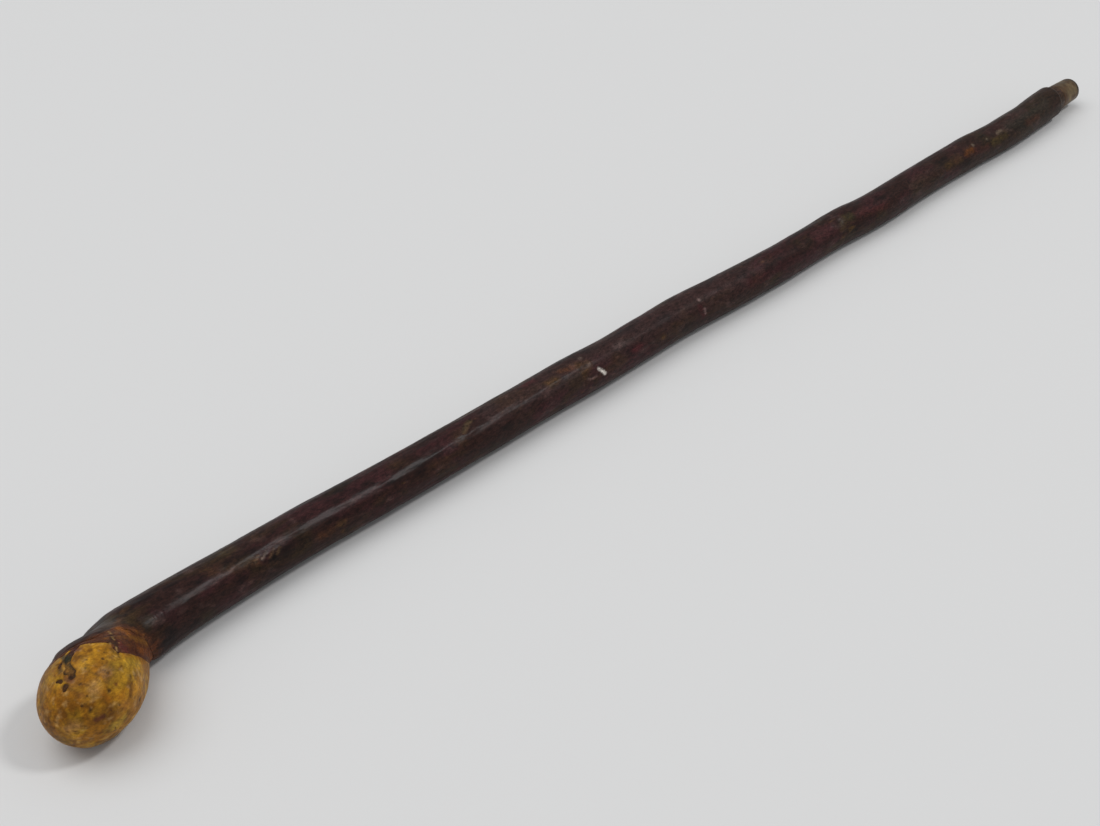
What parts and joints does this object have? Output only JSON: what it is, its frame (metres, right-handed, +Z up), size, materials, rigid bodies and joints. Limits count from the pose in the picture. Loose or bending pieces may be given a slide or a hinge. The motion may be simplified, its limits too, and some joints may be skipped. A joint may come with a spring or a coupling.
{
  "type": "knob handle walking stick",
  "caption": "Natural wooden walking stick with a bare root knob for a handle, bark left on the tapering stem, and a small metal ferrule on the tip",
  "frame": {"origin": "under the middle of the stick's bounding box, on the table that it lies on", "axes": "+X along the stick from its knob to its ferrule, +Z up from the table, +Y sideways so that the knob bulges towards -Y"},
  "size_m": [0.9, 0.064, 0.0457],
  "materials": {
    "knob_wood": "varnished, with brown streaks",
    "bark": "smooth maroon-brown bark under varnish",
    "inner_bark": "fibrous, red-brown, varnished",
    "ingrown_bark": "rough and dark",
    "ferrule_brass": "tarnished, dull",
    "sole_steel": "worn and dull"
  },
  "bodies": {
    "root": {"knob_and_stem_wood": "knob_wood", "bark_sleeve": "bark", "inner_bark_collar": "inner_bark", "ingrown_bark_1": "ingrown_bark", "ingrown_bark_2": "ingrown_bark", "ingrown_bark_3": "ingrown_bark", "ferrule_tube": "ferrule_brass", "ferrule_brad": "ferrule_brass", "ferrule_sole": "sole_steel"}
  },
  "joints": []
}
